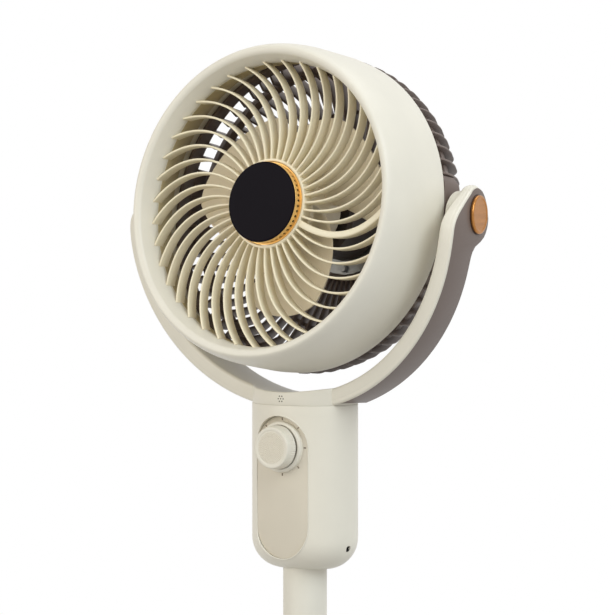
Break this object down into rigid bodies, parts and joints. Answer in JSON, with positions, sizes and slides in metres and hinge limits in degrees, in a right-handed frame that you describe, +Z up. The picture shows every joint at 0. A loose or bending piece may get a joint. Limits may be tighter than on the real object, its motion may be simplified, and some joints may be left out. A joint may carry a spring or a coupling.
{
  "type": "pedestal air circulator fan",
  "caption": "Pedestal air circulator: round vaned head tilting in a U-shaped yoke, on an oval control housing with a knob, a pole and a weighted round base.",
  "frame": {"origin": "centre of the base on the floor", "axes": "+Z up the pole, -Y the way the head blows at rest, +X along the tilt axis towards the inlet side"},
  "size_m": [0.3444, 0.3, 0.9786],
  "materials": {
    "cream_plastic": "smooth satin injection-moulded plastic, cream",
    "panel_plastic": "fine matt, warm beige",
    "taupe_plastic": "fine matt, grey-brown",
    "dark_plastic": "matt, dark brown",
    "copper_trim": "polished copper-coloured metal",
    "gold_trim": "polished gold-coloured perforated band",
    "gloss_black": "high-gloss black",
    "rubber": "matt black rubber",
    "steel": "plain zinc-plated steel",
    "motor_steel": "dark painted steel can",
    "cast_weight": "rough cast disc",
    "cream_metal": "smooth cream powder coat on steel tube",
    "board": "green circuit board",
    "brass_gear": "machined brass"
  },
  "bodies": {
    "stand": {"base_cover": "cream_plastic", "pole_collar": "cream_plastic", "base_weight": "cast_weight", "base_screw": "steel", "pole_lower": "cream_metal", "pole_coupling": "dark_plastic", "pole_upper": "cream_metal", "housing_shell": "cream_plastic", "housing_lid": "cream_plastic", "housing_screw_right": "steel", "housing_screw_left": "steel", "control_panel": "panel_plastic", "dial_collar": "cream_plastic", "rotary_switch": "dark_plastic", "control_board": "board", "board_posts": "cream_plastic", "power_inlet": "rubber", "swing_motor": "steel", "spindle_bushing": "brass_gear", "rubber_foot_1": "rubber", "rubber_foot_2": "rubber", "rubber_foot_3": "rubber", "rubber_foot_4": "rubber", "rubber_foot_5": "rubber"},
    "pinion": {"swing_pinion": "brass_gear"},
    "knob": {"speed_knob": "cream_plastic"},
    "yoke": {"yoke_frame": "cream_plastic", "yoke_spindle": "steel", "swing_gear": "brass_gear", "spindle_nut": "steel", "yoke_cover_right": "taupe_plastic", "yoke_cover_left": "taupe_plastic", "pivot_bolt_right": "steel", "pivot_bolt_left": "steel", "pivot_cap_right": "copper_trim", "pivot_cap_left": "copper_trim", "tilt_washer_right": "dark_plastic", "tilt_washer_left": "dark_plastic"},
    "head": {"front_shroud": "cream_plastic", "front_grille": "cream_plastic", "hub_band": "gold_trim", "hub_disc": "gloss_black", "rear_guard": "taupe_plastic", "motor_mount": "steel", "motor_can": "motor_steel", "rear_cap": "taupe_plastic", "mount_screw_1": "steel", "mount_screw_2": "steel", "mount_screw_3": "steel", "mount_screw_4": "steel", "pivot_boss_right": "cream_plastic", "pivot_boss_left": "cream_plastic", "guard_pad_right": "taupe_plastic", "guard_pad_left": "taupe_plastic"},
    "impeller_unit": {"impeller": "cream_plastic", "motor_shaft": "steel", "fan_nut": "dark_plastic"}
  },
  "joints": [
    {"name": "yoke_swing", "type": "hinge", "parent": "stand", "child": "yoke", "pos_m": [0, 0, 0.668], "axis": [0, 0, 1], "range_deg": [-45, 45]},
    {"name": "pinion_spin", "type": "hinge", "parent": "stand", "child": "pinion", "pos_m": [-0.0323, 0, 0.652], "axis": [0, 0, 1], "range_deg": [-140, 140]},
    {"name": "knob_turn", "type": "hinge", "parent": "stand", "child": "knob", "pos_m": [0, -0.043, 0.632], "axis": [0, 1, 0], "range_deg": [0, 315]},
    {"name": "head_tilt", "type": "hinge", "parent": "yoke", "child": "head", "pos_m": [0, 0.024, 0.833], "axis": [1, 0, 0], "range_deg": [-80, 17]},
    {"name": "impeller_spin", "type": "hinge", "parent": "head", "child": "impeller_unit", "pos_m": [0, 0, 0.833], "axis": [0, -0.9869, 0.1616], "continuous": true}
  ],
  "couplings": [
    {"joint": "pinion_spin", "follows": "yoke_swing", "ratio": -3}
  ]
}
